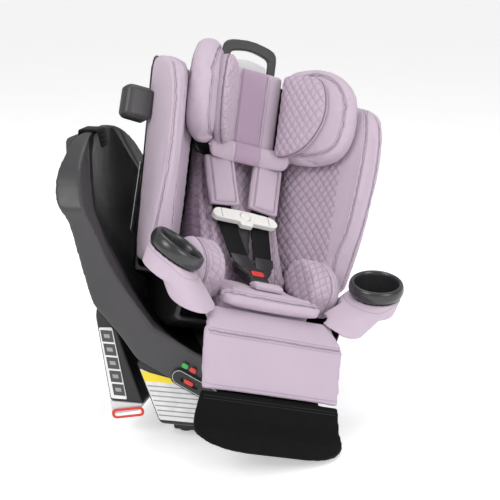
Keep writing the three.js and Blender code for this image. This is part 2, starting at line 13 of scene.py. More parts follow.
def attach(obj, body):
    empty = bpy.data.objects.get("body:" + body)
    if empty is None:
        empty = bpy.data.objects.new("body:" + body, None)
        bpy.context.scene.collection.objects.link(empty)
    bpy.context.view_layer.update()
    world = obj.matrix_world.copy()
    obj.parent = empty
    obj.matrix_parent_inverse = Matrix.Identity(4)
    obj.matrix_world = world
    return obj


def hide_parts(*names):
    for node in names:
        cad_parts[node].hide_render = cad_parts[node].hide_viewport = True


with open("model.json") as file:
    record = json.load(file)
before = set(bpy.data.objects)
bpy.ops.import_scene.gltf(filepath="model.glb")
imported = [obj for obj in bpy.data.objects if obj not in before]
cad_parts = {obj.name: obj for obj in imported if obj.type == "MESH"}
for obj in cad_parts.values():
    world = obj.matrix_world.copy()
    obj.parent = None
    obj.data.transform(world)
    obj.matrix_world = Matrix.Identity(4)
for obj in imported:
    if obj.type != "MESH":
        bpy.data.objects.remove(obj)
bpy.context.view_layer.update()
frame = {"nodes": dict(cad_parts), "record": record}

nodes = frame["nodes"]
scene = bpy.context.scene

# ---- Frames, in metres ----
# Seat frame: x to the child's left, y to the back, z along the turning axis.
# Torso frame: x the same, y behind the wing edges, z up along them.
foot = next(m for m in frame["record"]["mounts"] if m["name"] == "ground_foot")
ORIGIN = Vector(foot["pos_m"]) - Vector((0.130, -0.095, -0.008))
BASE = Matrix.Translation(ORIGIN)
SEAT = BASE @ Matrix.Rotation(math.radians(20), 4, "Y") @ Matrix.Rotation(math.radians(34), 4, "Z")
TORSO = SEAT @ Matrix.Translation((0, 0.015, 0.282)) @ Matrix.Rotation(math.radians(-30), 4, "X")
CUP_LEAN = math.radians(18)
LOBE_SPLAY = math.radians(31)
LOBE_FOOT = Vector((0.084, 0.112, 0))
LOBE = TORSO @ Matrix.Translation(LOBE_FOOT) @ Matrix.Rotation(LOBE_SPLAY, 4, "Z")
LOBE_RIGHT = TORSO @ Matrix.Translation(LOBE_FOOT * Vector((-1, 1, 1))) @ Matrix.Rotation(-LOBE_SPLAY, 4, "Z")

# ---- Camera, at the photograph's viewing angle ----
AZIMUTH, ELEVATION = math.radians(13), math.radians(15)
FOCAL_PIXELS, IMAGE_PIXELS, SENSOR_MM = 1150, 500, 36
NEAR_CLIP, FAR_CLIP = 0.05, 120
back = Vector((math.sin(AZIMUTH) * math.cos(ELEVATION), -math.cos(AZIMUTH) * math.cos(ELEVATION),
               math.sin(ELEVATION)))
camera = bpy.data.objects.new("camera", bpy.data.cameras.new("camera"))
camera.data.lens = FOCAL_PIXELS / IMAGE_PIXELS * SENSOR_MM
camera.data.sensor_width = SENSOR_MM
camera.location = ORIGIN + Vector((0.54022, -1.97183, 0.85326))
camera.rotation_mode = "QUATERNION"
camera.rotation_quaternion = (-back).to_track_quat("-Z", "Y")
camera.data.clip_start, camera.data.clip_end = NEAR_CLIP, FAR_CLIP
scene.collection.objects.link(camera)
scene.camera = camera
scene.view_settings.view_transform = "Standard"


# ---- Materials ----
def linear(r, g, b):
    def channel(value):
        value /= 255
        return value / 12.92 if value <= 0.04045 else ((value + 0.055) / 1.055) ** 2.4
    return channel(r), channel(g), channel(b), 1


def shade(color, factor):
    return tuple(min(1, c * factor) for c in color[:3]) + (1,)


class Nodes:
    """A material with a Principled shader and short calls to add nodes to it."""

    def __init__(self, name, roughness, space=None, **sockets):
        self.material = bpy.data.materials.new(name)
        self.material.use_nodes = True
        self.tree = self.material.node_tree
        self.shader = self.tree.nodes["Principled BSDF"]
        self.shader.inputs["Roughness"].default_value = roughness
        for socket, value in sockets.items():
            self.shader.inputs[socket.replace("_", " ")].default_value = value
        coordinates = self.tree.nodes.new("ShaderNodeTexCoord")
        self.place = coordinates.outputs["Object"]
        if space is not None:
            mapping = self.tree.nodes.new("ShaderNodeMapping")
            inverse = space.inverted()
            mapping.inputs["Location"].default_value = inverse.translation
            mapping.inputs["Rotation"].default_value = inverse.to_euler()
            self.link(self.place, mapping.inputs["Vector"])
            self.place = mapping.outputs["Vector"]

    def link(self, a, b):
        self.tree.links.new(a, b)

    def add(self, kind, **values):
        node = self.tree.nodes.new("ShaderNode" + kind)
        for key, value in values.items():
            if hasattr(node, key):
                setattr(node, key, value)
            else:
                node.inputs[key.replace("_", " ")].default_value = value
        return node

    def noise(self, scale, detail=3, roughness=0.5):
        node = self.add("TexNoise", Scale=scale, Detail=detail, Roughness=roughness)
        self.link(self.place, node.inputs["Vector"])
        return node.outputs["Fac"]

    def cells(self, scale):
        node = self.add("TexVoronoi", Scale=scale)
        self.link(self.place, node.inputs["Vector"])
        return node.outputs["Distance"]

    def bands(self, scale, direction, distortion=0.0):
        node = self.add("TexWave", Scale=scale, Distortion=distortion)
        node.bands_direction = direction
        self.link(self.place, node.inputs["Vector"])
        return node.outputs["Fac"]

    def math(self, operation, a, b):
        node = self.tree.nodes.new("ShaderNodeMath")
        node.operation = operation
        for slot, value in zip(node.inputs, (a, b)):
            if isinstance(value, (int, float)):
                slot.default_value = value
            else:
                self.link(value, slot)
        return node.outputs[0]

    def ramp(self, factor, *stops):
        node = self.tree.nodes.new("ShaderNodeValToRGB")
        while len(node.color_ramp.elements) < len(stops):
            node.color_ramp.elements.new(0.5)
        for element, (position, color) in zip(node.color_ramp.elements, stops):
            element.position = position
            element.color = color if isinstance(color, tuple) else (color, color, color, 1)
        self.link(factor, node.inputs[0])
        return node.outputs[0]

    def mix(self, factor, a, b):
        node = self.tree.nodes.new("ShaderNodeMixRGB")
        for slot, value in zip(node.inputs, (factor, a, b)):
            if isinstance(value, (int, float, tuple)):
                slot.default_value = value
            else:
                self.link(value, slot)
        return node.outputs[0]

    def color(self, output):
        self.link(output, self.shader.inputs["Base Color"])

    def rough(self, output):
        self.link(output, self.shader.inputs["Roughness"])

    def bump(self, *layers):
        """Each layer is (height output, strength, distance); they stack."""
        previous = None
        for height, strength, distance in layers:
            node = self.add("Bump", Strength=strength, Distance=distance)
            self.link(height, node.inputs["Height"])
            if previous is not None:
                self.link(previous, node.inputs["Normal"])
            previous = node.outputs["Normal"]
        self.link(previous, self.shader.inputs["Normal"])


def knit(name, color, space, roughness=0.85, weave=520, sheen=0.18, depth=0.00025, heather=0.05,
         specular=0.25):
    """Knitted cover: a fine weave in all three directions, heathered yarn and slow shading."""
    m = Nodes(name, roughness, space, Sheen_Weight=sheen, Sheen_Roughness=0.45)
    m.shader.inputs["Specular IOR Level"].default_value = specular
    weft = m.math("ADD", m.bands(weave, "X"), m.bands(weave * 0.96, "Z"))
    yarn = m.math("ADD", weft, m.bands(weave * 0.98, "Y"))
    tone = m.ramp(m.noise(14, 4, 0.6), (0.3, shade(color, 1 - heather)),
                  (0.7, shade(color, 1 + heather * 0.6)))
    fleck = m.ramp(m.noise(900, 2, 0.7), (0.35, shade(color, 1 - heather * 1.6)), (0.65, shade(color, 1.02)))
    m.color(m.mix(0.5, tone, fleck))
    m.rough(m.ramp(m.noise(60, 3), (0.3, roughness - 0.06), (0.7, min(1, roughness + 0.06))))
    m.bump((yarn, 0.5, depth), (m.noise(230, 4, 0.6), 0.25, 0.0006), (m.noise(26, 2), 0.25, 0.0022))
    return m


def fabric(name, color, space, **look):
    return knit(name, color, space, **look).material


QUILT_PITCH, QUILT_SLANT = 0.0155, 0.72


def quilted(name, color, space, across, up):
    """The knit with sewn diamonds: painted shade darkens the lines where the geometry's quilting dips, and a
    bump sinks them.
    """
    m = knit(name, color, space, weave=430, depth=0.0003)
    lines = []
    for sign in (1, -1):
        way = (Vector(across) + Vector(up) * QUILT_SLANT * sign) * (math.pi / QUILT_PITCH)
        dot = m.tree.nodes.new("ShaderNodeVectorMath")
        dot.operation = "DOT_PRODUCT"
        dot.inputs[1].default_value = way
        m.link(m.place, dot.inputs[0])
        lines.append(m.math("ABSOLUTE", m.math("SINE", dot.outputs["Value"], 0), 0))
    # painted shade: the colour darkens along the sewn lines, in the creases the quilting dips into
    near = m.math("MINIMUM", lines[0], lines[1])
    base = m.shader.inputs["Base Color"].links[0].from_socket
    m.color(m.mix(m.ramp(near, (0.02, 0.42), (0.15, 0.0)), base, shade(color, 0.62)))
    bump = m.add("Bump", Strength=0.8, Distance=0.0012)
    m.link(m.ramp(near, (0.0, 0.0), (0.22, 0.8), (0.6, 1.0)), bump.inputs["Height"])
    m.link(m.shader.inputs["Normal"].links[0].from_socket, bump.inputs["Normal"])
    m.link(bump.outputs["Normal"], m.shader.inputs["Normal"])
    return m.material


def moulded(name, color, roughness, grain=900, depth=0.00012, coat=0.0):
    """Moulded plastic: spark-eroded grain, slow colour drift and a painted highlight that makes the convex
    edges a little lighter.
    """
    m = Nodes(name, roughness, Coat_Weight=coat, Coat_Roughness=0.2)
    drift = m.ramp(m.noise(9, 4, 0.6), (0.3, shade(color, 0.9)), (0.7, shade(color, 1.1)))
    # painted highlight: convex edges, found by pointiness, are mixed towards a lighter colour
    geometry = m.tree.nodes.new("ShaderNodeNewGeometry")
    edge_highlight = m.ramp(geometry.outputs["Pointiness"], (0.52, 0.0), (0.62, 1.0))
    edge_highlight_weight = m.math("MULTIPLY", edge_highlight, 0.28)
    m.color(m.mix(edge_highlight_weight, drift, shade(color, 1.9)))
    m.rough(m.ramp(m.noise(40, 5, 0.65), (0.3, roughness - 0.06), (0.7, roughness + 0.06)))
    m.bump((m.cells(grain), 0.45, depth), (m.noise(grain * 0.45, 3), 0.3, depth * 2))
    return m.material


def smooth_plastic(name, color, roughness, coat=0.2):
    m = Nodes(name, roughness, Coat_Weight=coat, Coat_Roughness=0.15)
    m.color(m.ramp(m.noise(30, 4), (0.3, shade(color, 0.95)), (0.7, shade(color, 1.04))))
    m.rough(m.ramp(m.noise(120, 4), (0.3, roughness - 0.05), (0.7, roughness + 0.06)))
    m.bump((m.noise(450, 3), 0.15, 0.00008), (m.noise(35, 2), 0.1, 0.0004))
    return m.material


def woven_strap(name, color, space):
    """Harness webbing: close ribs along the strap crossed by a finer weft."""
    m = Nodes(name, 0.5, space, Specular_IOR_Level=0.15)
    weave = m.math("MULTIPLY", m.bands(150, "X"), m.bands(230, "Z", 0.4))
    m.color(m.mix(m.ramp(weave, (0.1, 0.0), (0.8, 1.0)), shade(color, 0.6), shade(color, 1.7)))
    m.bump((weave, 0.7, 0.0005), (m.noise(500, 3), 0.3, 0.0002))
    return m.material


def blank_film(name):
    """Plain printed film, a little uneven."""
    m = Nodes(name, 0.42, Coat_Weight=0.3, Coat_Roughness=0.2)
    m.color(m.ramp(m.noise(60, 4), (0.3, linear(214, 214, 214)), (0.7, linear(232, 232, 231))))
    m.bump((m.noise(300, 3), 0.12, 0.0001), (m.noise(18, 2), 0.2, 0.0008))
    return m.material


LAVENDER = linear(200, 183, 198)
QUILT = linear(194, 175, 192)
SATIN = linear(176, 153, 174)
BOLSTER_ACROSS, BOLSTER_UP = (0.81, -0.58, 0), (0.29, 0.41, 0.86)

paint = {
    "lavender": fabric("lavender_knit", LAVENDER, TORSO),
    "quilt_wing": quilted("quilted_knit_wings", QUILT, TORSO, (0, 1, 0), (0, 0, 1)),
    "quilt_back": quilted("quilted_knit_back", QUILT, TORSO, (1, 0, 0), (0, 0, 1)),
    "quilt_bolster_left": quilted("quilted_knit_bolster_left", QUILT, SEAT, BOLSTER_ACROSS, BOLSTER_UP),
    "quilt_bolster_right": quilted("quilted_knit_bolster_right", QUILT, SEAT, (-0.81, -0.58, 0),
                                   (-0.29, 0.41, 0.86)),
    "quilt_pillow_left": quilted("quilted_knit_pillow_left", QUILT, LOBE, (0, 1, 0), (0, 0, 1)),
    "quilt_pillow_right": quilted("quilted_knit_pillow_right", QUILT, LOBE_RIGHT, (0, 1, 0), (0, 0, 1)),
    "satin": fabric("satin_knit", SATIN, TORSO, roughness=0.5, weave=760, sheen=0.5, depth=0.0001,
                    heather=0.03),
    "leg_knit": fabric("leg_rest_knit", linear(196, 179, 195), SEAT),
    "black_cloth": fabric("black_extension_cloth", linear(9, 9, 11), SEAT, roughness=0.55, weave=700,
                          sheen=0.02, specular=0.1, depth=0.0001),
    "thread": smooth_plastic("stitch_thread", linear(138, 119, 138), 0.6, 0),
    "dark_thread": smooth_plastic("dark_stitch_thread", linear(52, 51, 52), 0.6, 0),
    "grip": fabric("grip_rubber_cloth", linear(84, 80, 84), TORSO, roughness=0.6, weave=260, sheen=0.05,
                   depth=0.0006),
    "webbing": woven_strap("harness_webbing", linear(14, 14, 16), TORSO),
    "tether": woven_strap("tether_webbing", linear(22, 22, 24), BASE),
    "charcoal": moulded("charcoal_plastic", linear(56, 54, 56), 0.46, coat=0.08),
    "interior": moulded("bowl_plastic", linear(11, 11, 13), 0.36, grain=700, coat=0.06),
    "black": moulded("black_plastic", linear(19, 19, 21), 0.42, coat=0.08),
    "rim": moulded("rim_plastic", linear(44, 44, 46), 0.3, grain=1400, depth=0.00005, coat=0.25),
    "pale": smooth_plastic("pale_grey_plastic", linear(214, 214, 214), 0.42),
    "ivory": smooth_plastic("ivory_plastic", linear(236, 236, 230), 0.32),
    "red": smooth_plastic("red_plastic", linear(214, 48, 34), 0.38),
    "green": smooth_plastic("green_plastic", linear(60, 170, 80), 0.38),
    "rubber": moulded("foot_rubber", linear(38, 38, 38), 0.8, grain=500, depth=0.0003),
    "steel": moulded("plain_steel", linear(150, 152, 154), 0.32, grain=2000, depth=0.00003),
    "label": blank_film("label_film"),
    "yellow": smooth_plastic("yellow_film", linear(240, 214, 40), 0.45),
    "grey_print": smooth_plastic("grey_film", linear(150, 150, 152), 0.5),
    "grey_block": smooth_plastic("dark_grey_film", linear(62, 62, 64), 0.5),
    "print_white": smooth_plastic("white_print", linear(210, 210, 210), 0.5),
}
paint["steel"].node_tree.nodes["Principled BSDF"].inputs["Metallic"].default_value = 1.0

SIDES = (("left", 1), ("right", -1))
MIRROR = Matrix.Scale(-1, 4, (1, 0, 0))
BACKWARD, DOWN = (0, 1, 0), (0, 0, -1)
VOXEL = 0.0045                              # remeshing of the large pads
LINE_STEP = 0.003                           # between the points of a seam line
SEAM_WIDTH, SEAM_DEPTH, SEAM_LIP = 0.0024, 0.0030, 0.0009
SEAM_SHADE_RADIUS = 0.0006                        # of the dark cord that lies in a seam as painted seam shade
THREAD_RADIUS, THREAD_LIFT = 0.00042, 0.0002
CLOTH_STEPS = 20


# ---- Mesh helpers; pieces are built in a local frame and placed at the end ----
def new_object(name, mesh):
    piece = bpy.data.objects.new(name, mesh)
    scene.collection.objects.link(piece)
    return piece


def from_node(name, node, space):
    """A welded copy of a CAD node in the local frame."""
    mesh = nodes[node].data.copy()
    mesh.transform(space.inverted())
    mesh.materials.clear()
    welded = bmesh.new()
    welded.from_mesh(mesh)
    bmesh.ops.remove_doubles(welded, verts=welded.verts, dist=1e-5)
    welded.to_mesh(mesh)
    welded.free()
    return new_object(name, mesh)


def from_arrays(name, points, faces):
    mesh = bpy.data.meshes.new(name)
    mesh.from_pydata([tuple(p) for p in points], [], faces)
    mesh.update()
    return new_object(name, mesh)


def apply_modifiers(piece):
    graph = bpy.context.evaluated_depsgraph_get()
    mesh = bpy.data.meshes.new_from_object(piece.evaluated_get(graph))
    old = piece.data
    piece.modifiers.clear()
    piece.data = mesh
    bpy.data.meshes.remove(old)


def remesh(piece, voxel, rounds):
    grid = piece.modifiers.new("grid", "REMESH")
    grid.mode = "VOXEL"
    grid.voxel_size = voxel
    soft = piece.modifiers.new("soft", "SMOOTH")
    soft.factor, soft.iterations = 0.5, rounds
    apply_modifiers(piece)


def subdivide(piece):
    surface = piece.modifiers.new("surface", "SUBSURF")
    surface.levels = surface.render_levels = 1
    apply_modifiers(piece)


def coordinates(piece):
    flat = np.empty(len(piece.data.vertices) * 3)
    piece.data.vertices.foreach_get("co", flat)
    return flat.reshape(-1, 3)


def normals(piece):
    flat = np.empty(len(piece.data.vertices) * 3)
    piece.data.vertex_normals.foreach_get("vector", flat)
    return flat.reshape(-1, 3)


def put(piece, points):
    piece.data.vertices.foreach_set("co", np.ascontiguousarray(points).ravel())
    piece.data.update()


def inflate(piece, pressure, cap):
    """Cloth under pressure: the cover swells like a filled pad, each point moving at most cap."""
    before = coordinates(piece)
    cloth = piece.modifiers.new("cover", "CLOTH")
    cloth.settings.use_pressure = True
    cloth.settings.uniform_pressure_force = pressure
    cloth.settings.effector_weights.gravity = 0
    cloth.settings.quality = 4
    cloth.point_cache.frame_start, cloth.point_cache.frame_end = 1, CLOTH_STEPS + 1
    for step in range(1, CLOTH_STEPS + 1):
        scene.frame_set(step)
    apply_modifiers(piece)
    scene.frame_set(1)
    move = coordinates(piece) - before
    length = np.linalg.norm(move, axis=1)
    limit = cap * np.tanh(length / cap) / np.maximum(length, 1e-9)
    put(piece, before + move * limit[:, None])


def mirrored(piece, name):
    mesh = piece.data.copy()
    mesh.transform(MIRROR)
    mesh.flip_normals()
    return new_object(name, mesh)


def sided(sign, points):
    """The points as they are, or mirrored where sign is -1."""
    return [(sign * x, y, z) for x, y, z in points]


def dense(points, step=LINE_STEP):
    """A polyline resampled at even steps."""
    points = np.array(points, float)
    legs = np.linalg.norm(np.diff(points, axis=0), axis=1)
    run = np.concatenate([[0], np.cumsum(legs)])
    marks = np.linspace(0, run[-1], max(2, int(run[-1] / step)))
    return np.stack([np.interp(marks, run, points[:, k]) for k in range(3)], axis=1)


def rounded(points, passes=3, closed=False):
    """Corner cutting, for smooth seam lines from a few points."""
    points = [np.array(p, float) for p in points]
    for _ in range(passes):
        pairs = list(zip(points, points[1:] + points[:1])) if closed else list(zip(points, points[1:]))
        cut = []
        for a, b in pairs:
            cut += [a * 0.75 + b * 0.25, a * 0.25 + b * 0.75]
        points = cut if closed else [points[0]] + cut + [points[-1]]
    return points + points[:1] if closed else points


def surface_of(piece):
    work = bmesh.new()
    work.from_mesh(piece.data)
    tree = BVHTree.FromBMesh(work)
    work.free()
    return tree


def project(tree, line, direction, reach=0.3):
    """The line dropped onto the surface along direction: points and outward normals."""
    points, outward = [], []
    way = Vector(direction).normalized()
    for p in line:
        hit, normal, _, _ = tree.ray_cast(Vector(p) - way * reach, way, 2 * reach)
        if hit is not None:
            points.append(np.array(hit))
            outward.append(np.array(normal if normal.dot(way) < 0 else -normal))
    return np.array(points), np.array(outward)


def nearest(tree, line):
    points, outward = [], []
    for p in line:
        hit, normal, _, _ = tree.find_nearest(Vector(p))
        points.append(np.array(hit))
        outward.append(np.array(normal))
    return np.array(points), np.array(outward)


def carve(piece, lines, width=SEAM_WIDTH, depth=SEAM_DEPTH, lip=SEAM_LIP):
    """Presses seams into the cover along lines that lie on it, with a slight swell beside them."""
    lines = [line for line in lines if len(line)]
    tree = KDTree(sum(len(line) for line in lines))
    index = 0
    for line in lines:
        for p in line:
            tree.insert(p, index)
            index += 1
    tree.balance()
    points, outward = coordinates(piece), normals(piece)
    distance = np.array([tree.find(Vector(p))[2] for p in points])
    profile = -depth * np.exp(-(distance / width) ** 2)
    profile += lip * np.exp(-((distance - 2.6 * width) / (1.5 * width)) ** 2)
    put(piece, points + outward * profile[:, None])


def quilt(piece, mapping, mask, height=0.0024):
    """Diamond quilting: pillows between two sets of sewn lines, over mapping's two coordinates."""
    points, outward = coordinates(piece), normals(piece)
    a, b = mapping(points)
    p, q = (a + b * QUILT_SLANT) / QUILT_PITCH, (a - b * QUILT_SLANT) / QUILT_PITCH
    pillow = np.abs(np.sin(math.pi * p)) * np.abs(np.sin(math.pi * q))
    rise = height * (pillow ** 0.42 - 0.55)
    put(piece, points + outward * (rise * mask)[:, None])


def smoothstep(low, high, value):
    t = np.clip((value - low) / (high - low), 0, 1)
    return t * t * (3 - 2 * t)


def tube_arrays(line, radius, sides=8, closed=False):
    """A round tube along a line, as points and faces."""
    line = np.array(line, float)
    count = len(line)
    ahead = np.roll(line, -1, 0) if closed else np.vstack([line[1:], line[-1:]])
    behind = np.roll(line, 1, 0) if closed else np.vstack([line[:1], line[:-1]])
    tangent = ahead - behind
    tangent /= np.maximum(np.linalg.norm(tangent, axis=1), 1e-9)[:, None]
    side = np.cross(tangent[0], (0, 0, 1) if abs(tangent[0][2]) < 0.9 else (1, 0, 0))
    points, faces = [], []
    for i in range(count):
        side = side - tangent[i] * np.dot(side, tangent[i])
        side /= np.linalg.norm(side)
        up = np.cross(tangent[i], side)
        for k in range(sides):
            angle = 2 * math.pi * k / sides
            points.append(line[i] + radius * (math.cos(angle) * side + math.sin(angle) * up))
    rings = count if closed else count - 1
    for i in range(rings):
        j = (i + 1) % count
        for k in range(sides):
            n = (k + 1) % sides
            faces.append((i * sides + k, i * sides + n, j * sides + n, j * sides + k))
    if not closed:
        faces.append(tuple(range(sides))[::-1])
        faces.append(tuple((count - 1) * sides + k for k in range(sides)))
    return points, faces


def tube(name, line, radius, sides=8, closed=False):
    piece = from_arrays(name, *tube_arrays(line, radius, sides, closed))
    for face in piece.data.polygons:
        face.use_smooth = True
    return piece


def stitches(name, runs, pitch=0.0042, length=0.0028, seams=()):
    """Thread dashes along runs of (points, normals) and fine dark cords in the seams as painted seam shade,
    in one mesh.
    """
    points, faces = [], []
    for line in seams:
        # painted shade: a dark cord along each seam line, where the groove's shadow falls
        if len(line) > 3:
            rings, sides = tube_arrays(line, SEAM_SHADE_RADIUS, 6)
            faces += [tuple(len(points) + i for i in side) for side in sides]
            points += rings
    for line, outward in runs:
        if len(line) < 3:
            continue
        legs = np.linalg.norm(np.diff(line, axis=0), axis=1)
        run = np.concatenate([[0], np.cumsum(legs)])
        for mark in np.arange(pitch / 2, run[-1] - length, pitch):
            ends = [np.array([np.interp(m, run, line[:, k]) for k in range(3)])
                    for m in (mark, mark + length)]
            normal = outward[min(np.searchsorted(run, mark), len(outward) - 1)]
            way = ends[1] - ends[0]
            size = np.linalg.norm(way)
            if size < length * 0.5 or size > length * 1.5:
                continue
            way /= size
            side = np.cross(way, normal)
            side /= max(np.linalg.norm(side), 1e-9)
            first = len(points)
            for t, r, sink in ((0, 0.35, -0.6), (0.2, 1, 0.2), (0.8, 1, 0.2), (1, 0.35, -0.6)):
                centre = ends[0] * (1 - t) + ends[1] * t + normal * (THREAD_LIFT + sink * THREAD_RADIUS)
                for k in range(6):
                    angle = math.pi * k / 3
                    out = math.cos(angle) * side * 1.15 + math.sin(angle) * normal
                    points.append(centre + THREAD_RADIUS * r * out)
            for ring in range(3):
                for k in range(6):
                    n = (k + 1) % 6
                    a = first + ring * 6
                    faces.append((a + k, a + n, a + 6 + n, a + 6 + k))
            faces.append(tuple(first + k for k in range(6))[::-1])
            faces.append(tuple(first + 18 + k for k in range(6)))
    piece = from_arrays(name, points, faces)
    for face in piece.data.polygons:
        face.use_smooth = True
    return piece


def finish_piece(piece, space, body, material, stands_for=(), sharp=None, inlay=None):
    """Places a local piece in the row frame and hangs it on its body. An inlay is a second
    material and the material index of each face."""
    piece.data.transform(space)
    piece.data.materials.clear()
    for name in (material, inlay[0]) if inlay else (material,):
        piece.data.materials.append(paint[name])
    for face in piece.data.polygons:
        face.use_smooth = True
    if sharp is not None:
        piece.data.set_sharp_from_angle(angle=math.radians(sharp))
    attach(piece, body)
    if stands_for:
        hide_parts(*stands_for)
    if inlay:
        piece.data.polygons.foreach_set("material_index", inlay[1])
    return piece


def soft_cover(node, space, voxel, rounds, pressure=0, cap=0, suffix="cover"):
    """The cover of a soft piece: its solid remeshed, swollen where a pressure is given, and smoothed."""
    piece = from_node(f"{node}_{suffix}", node, space)
    remesh(piece, voxel, rounds)
    if pressure:
        inflate(piece, pressure, cap)
    subdivide(piece)
    return piece


def sew(name, runs, space, body="seat", material="thread", slot="lavender_fabric", **look):
    finish_piece(stitches(name, runs, **look), space, body, material)


def face_slots(piece, mask):
    """The material index of each face: 1 where the mask, given per point, is over a half."""
    loops = np.empty(len(piece.data.loops), int)
    piece.data.loops.foreach_get("vertex_index", loops)
    first = np.array([face.loop_start for face in piece.data.polygons])
    return (mask[loops[first]] > 0.5).astype(int)


def face_side(piece):
    """How far each face is from the middle plane."""
    return np.abs([face.center.x for face in piece.data.polygons])


# ---- Seams ----
def offset_runs(tree, line, direction, gap):
    """Two parallel runs beside a projected seam line."""
    line = np.array(line)
    way = np.gradient(line, axis=0)
    way /= np.maximum(np.linalg.norm(way, axis=1), 1e-9)[:, None]
    side = np.cross(way, np.array(direction, float))
    side /= np.maximum(np.linalg.norm(side, axis=1), 1e-9)[:, None]
    return [project(tree, line + side * g, direction) for g in (-gap, gap)]


# ---- Wings: smooth outside the seam, quilted inside ----
WING_SEAM = [(0.176, -0.030, 0.372), (0.177, -0.045, 0.300), (0.176, -0.045, 0.250), (0.172, -0.040, 0.180),
             (0.170, -0.030, 0.110), (0.168, 0, 0.060), (0.164, 0, 0.0), (0.160, 0, -0.030)]
INTO_WING = (0.55, 0.83, 0)
EDGE_X, EDGE_DRAFT, EDGE_TOP = 0.2165, 0.0528, 0.320
wing = soft_cover("side_pad_left", TORSO, VOXEL, 14, 3, 0.004)
tree = surface_of(wing)
seam_line = dense(rounded(WING_SEAM), 0.0025)
seam = project(tree, seam_line, INTO_WING)[0]
edge_line = np.array([(EDGE_X - EDGE_DRAFT * max(0, EDGE_TOP - z), -0.05, z)
                      for z in np.linspace(0.345, 0.0, 90)])
edge = project(tree, edge_line, BACKWARD)[0]
carve(wing, [seam, edge])


def wing_inside(points):
    """1 on the quilted inner face, 0 outside the seam."""
    seam_x = np.interp(points[:, 2], [p[2] for p in WING_SEAM[::-1]], [p[0] for p in WING_SEAM[::-1]])
    return smoothstep(0.004, 0.010, seam_x - points[:, 0])


outward = normals(wing)
facing = smoothstep(0.05, 0.4, -outward[:, 1] * 0.75 - outward[:, 0] * 0.66)
quilt(wing, lambda p: (p[:, 1], p[:, 2]), wing_inside(coordinates(wing)) * facing)
wing_slots = face_slots(wing, wing_inside(coordinates(wing)) * smoothstep(0.0, 0.1, facing))
wings = (wing, mirrored(wing, "side_pad_right_cover"))
for (side, sign), piece in zip(SIDES, wings):
    tree = surface_of(piece)
    flip = np.array([sign, 1, 1])
    runs = offset_runs(tree, seam_line * flip, INTO_WING * flip, 0.0042)
    runs += offset_runs(tree, dense(edge_line * flip), BACKWARD, 0.0035)[:1]
    # dark cords in the seams: painted seam shade
    shade_cords = [nearest(tree, line * flip)[0] for line in (seam, edge)]
    sew(f"side_pad_{side}_stitches", runs, TORSO, seams=shade_cords)
    finish_piece(piece, TORSO, "seat", "lavender", [f"side_pad_{side}"],
                 inlay=("quilt_wing", wing_slots))

# ---- Back pad ----
PAD_SEAM = [(0.072, 0, 0.33), (0.072, 0, 0.12), (0.062, 0, 0.0), (0.056, 0, -0.1)]
pad = soft_cover("back_pad", TORSO, VOXEL, 5, 3, 0.003)
tree = surface_of(pad)
seams = [project(tree, dense(sided(s, PAD_SEAM)), BACKWARD)[0] for s in (-1, 1)]
carve(pad, seams, lip=0.0008)
quilt(pad, lambda p: (p[:, 0], p[:, 2]), smoothstep(0.1, 0.5, -normals(pad)[:, 1]))
surface_of_pad = surface_of(pad)
runs = []
for s in (-1, 1):
    runs += offset_runs(surface_of_pad, dense(sided(s, PAD_SEAM[:3])), BACKWARD, 0.004)
# dark cords in the seams: painted seam shade
sew("back_pad_stitches", runs, TORSO, seams=[nearest(surface_of_pad, line)[0] for line in seams])
finish_piece(pad, TORSO, "seat", "quilt_back", ["back_pad"])

# ---- Seat cushion ----
CUSHION_SIDE = [(0.083, 0.02, 0.3), (0.083, -0.06, 0.3), (0.080, -0.10, 0.3)]
cushion = soft_cover("seat_cushion", SEAT, VOXEL, 9, 4, 0.006)
tree = surface_of(cushion)
front_line = dense(rounded([(-0.094, -0.092, 0.3), (-0.086, -0.098, 0.3), (0, -0.102, 0.3),
                            (0.086, -0.098, 0.3), (0.094, -0.092, 0.3)]))
front = project(tree, front_line, DOWN)[0]
side_seams = [project(tree, dense(sided(s, CUSHION_SIDE)), DOWN)[0] for s in (-1, 1)]
carve(cushion, [front] + side_seams, 0.0026, 0.0032, 0.001)
tree = surface_of(cushion)
runs = offset_runs(tree, front_line, DOWN, 0.004)
runs += [project(tree, dense(sided(s, [(0.078, 0.02, 0.3), (0.078, -0.09, 0.3)])), DOWN) for s in (-1, 1)]
# dark cord in the front seam: painted seam shade
sew("seat_cushion_stitches", runs, SEAT, seams=[nearest(tree, front)[0]])
finish_piece(cushion, SEAT, "seat", "lavender", ["seat_cushion"])

# ---- Thigh bolsters: quilted towards the child, inside a seam that arches over them ----
SEAM_X, SEAM_ARCH = 0.128, 0.10
bolster = soft_cover("thigh_bolster_left", SEAT, VOXEL, 10, 5, 0.007)
tree = surface_of(bolster)
ring = []
for angle in np.linspace(math.radians(-25), math.radians(205), 120):
    start = Vector((SEAM_X, -0.003 + SEAM_ARCH * math.cos(angle), 0.270 + SEAM_ARCH * math.sin(angle)))
    hit = tree.ray_cast(start, (Vector((SEAM_X, -0.003, 0.275)) - start).normalized(), 0.2)[0]
    if hit is not None:
        ring.append(np.array(hit))
ring = np.array(ring)
carve(bolster, [ring])
outward = normals(bolster)
bolster_inside = smoothstep(0.003, 0.007, SEAM_X - coordinates(bolster)[:, 0])
quilt(bolster, lambda p: (p @ np.array(BOLSTER_ACROSS), p @ np.array(BOLSTER_UP)),
      bolster_inside * smoothstep(-0.2, 0.2, outward[:, 2] - outward[:, 0]), 0.0026)
bolster_slots = face_slots(bolster, bolster_inside)
bolsters = (bolster, mirrored(bolster, "thigh_bolster_right_cover"))
